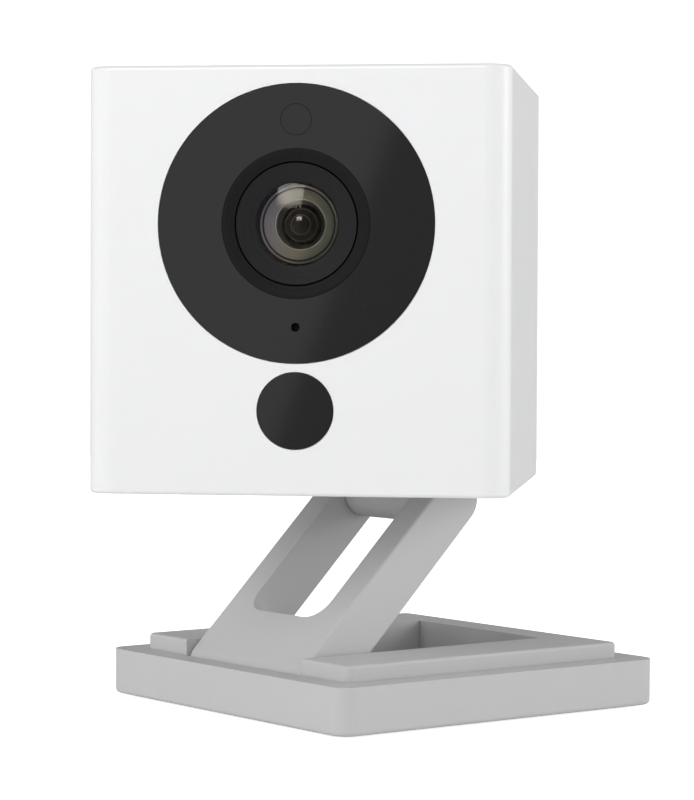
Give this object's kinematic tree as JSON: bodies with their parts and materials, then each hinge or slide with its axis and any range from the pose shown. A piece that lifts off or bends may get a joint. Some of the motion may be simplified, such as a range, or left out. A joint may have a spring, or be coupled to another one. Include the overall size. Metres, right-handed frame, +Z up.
{
  "type": "security camera",
  "caption": "Cube security camera: head with round lens window on a swivel disc, forked folding arm and square base.",
  "frame": {"origin": "on the table under the middle of the base, at the centre of the foot pad", "axes": "+Z up, the head faces -Y, +X is to the right of someone facing the lens; the stand is turned 45 degrees about +Z"},
  "size_m": [0.069, 0.069, 0.0787],
  "materials": {
    "black_matte": "matt black, moulded",
    "black_package": "moulded epoxy",
    "black_rubber": "matt",
    "black_window": "polished black acrylic",
    "brass_can": "plated",
    "circuit_board": "green solder mask",
    "clear_plastic": "clear moulding",
    "connector_plastic": "glass filled",
    "dark_plastic": "fine texture dark ABS",
    "filter_glass": "dichroic coating",
    "foam": "closed cell foam",
    "grey_button": "satin",
    "heat_aluminium": "bead blasted",
    "magnet_nickel": "nickel plated",
    "optical_glass": "coated, polished",
    "plated_steel": "zinc plated",
    "ribbon_film": "polyimide film",
    "sheet_steel": "tin plated sheet",
    "stand_plastic": "smooth satin light grey ABS",
    "white_nylon": "plain nylon",
    "white_shell": "smooth satin white polycarbonate"
  },
  "bodies": {
    "base": {"base_body": "stand_plastic", "base_cover": "dark_plastic", "foot_pad": "black_rubber", "base_screws": "plated_steel", "base_magnets": "magnet_nickel", "magnet_yokes": "sheet_steel", "base_pin": "plated_steel", "base_washers": "white_nylon"},
    "arm": {"stand_arm": "stand_plastic", "head_pin": "plated_steel", "head_washers": "white_nylon"},
    "swivel": {"swivel_carrier": "stand_plastic", "spring_washer": "sheet_steel", "swivel_retainer": "sheet_steel", "swivel_screws": "plated_steel"},
    "head": {"antenna": "ribbon_film", "aperture_ring": "black_matte", "board_screws": "plated_steel", "button_board": "circuit_board", "button_switch": "black_package", "card_socket": "sheet_steel", "case_screws": "plated_steel", "front_lens": "optical_glass", "front_window": "black_window", "head_shell": "white_shell", "heat_spreader": "heat_aluminium", "image_sensor": "black_package", "indicator_lens": "clear_plastic", "infrared_lamps": "clear_plastic", "ir_cut_filter": "filter_glass", "lamp_board": "circuit_board", "lens_baffle": "black_matte", "lens_barrel": "black_matte", "lens_holder": "black_matte", "lens_hood": "black_matte", "light_sensor": "black_package", "light_sensor_board": "circuit_board", "light_sensor_window": "black_window", "main_board": "circuit_board", "microphone": "brass_can", "microphone_boot": "black_rubber", "middle_lens": "optical_glass", "port_tongues": "connector_plastic", "power_socket": "sheet_steel", "processor": "black_package", "radio_shield": "sheet_steel", "rear_cover": "white_shell", "rear_lens": "optical_glass", "ribbon_connectors": "connector_plastic", "sensor_board": "circuit_board", "sensor_ribbon": "ribbon_film", "spacer_ring": "black_matte", "speaker": "black_package", "speaker_gasket": "foam", "status_lamps": "clear_plastic", "status_light_pipe": "clear_plastic", "thermal_pad": "foam", "usb_socket": "sheet_steel", "window_seal": "foam"},
    "button": {"setup_button": "grey_button"}
  },
  "joints": [
    {"name": "arm_fold", "type": "hinge", "parent": "base", "child": "arm", "pos_m": [-0.01298, -0.01298, 0.0049], "axis": [0.7071, -0.7071, 0], "range_deg": [-41, 45]},
    {"name": "head_level", "type": "hinge", "parent": "arm", "child": "swivel", "pos_m": [0.00217, 0.00217, 0.02633], "axis": [0.7071, -0.7071, 0], "range_deg": [-45, 41]},
    {"name": "head_swivel", "type": "hinge", "parent": "swivel", "child": "head", "pos_m": [-0.00628, -0.00628, 0.03114], "axis": [0, 0, 1], "continuous": true},
    {"name": "setup_button_press", "type": "slide", "parent": "head", "child": "button", "axis": [0, 0, 1], "range_m": [0, 0.0004], "stiffness_N_per_m": 500}
  ],
  "couplings": [
    {"joint": "head_level", "follows": "arm_fold", "ratio": -1}
  ]
}
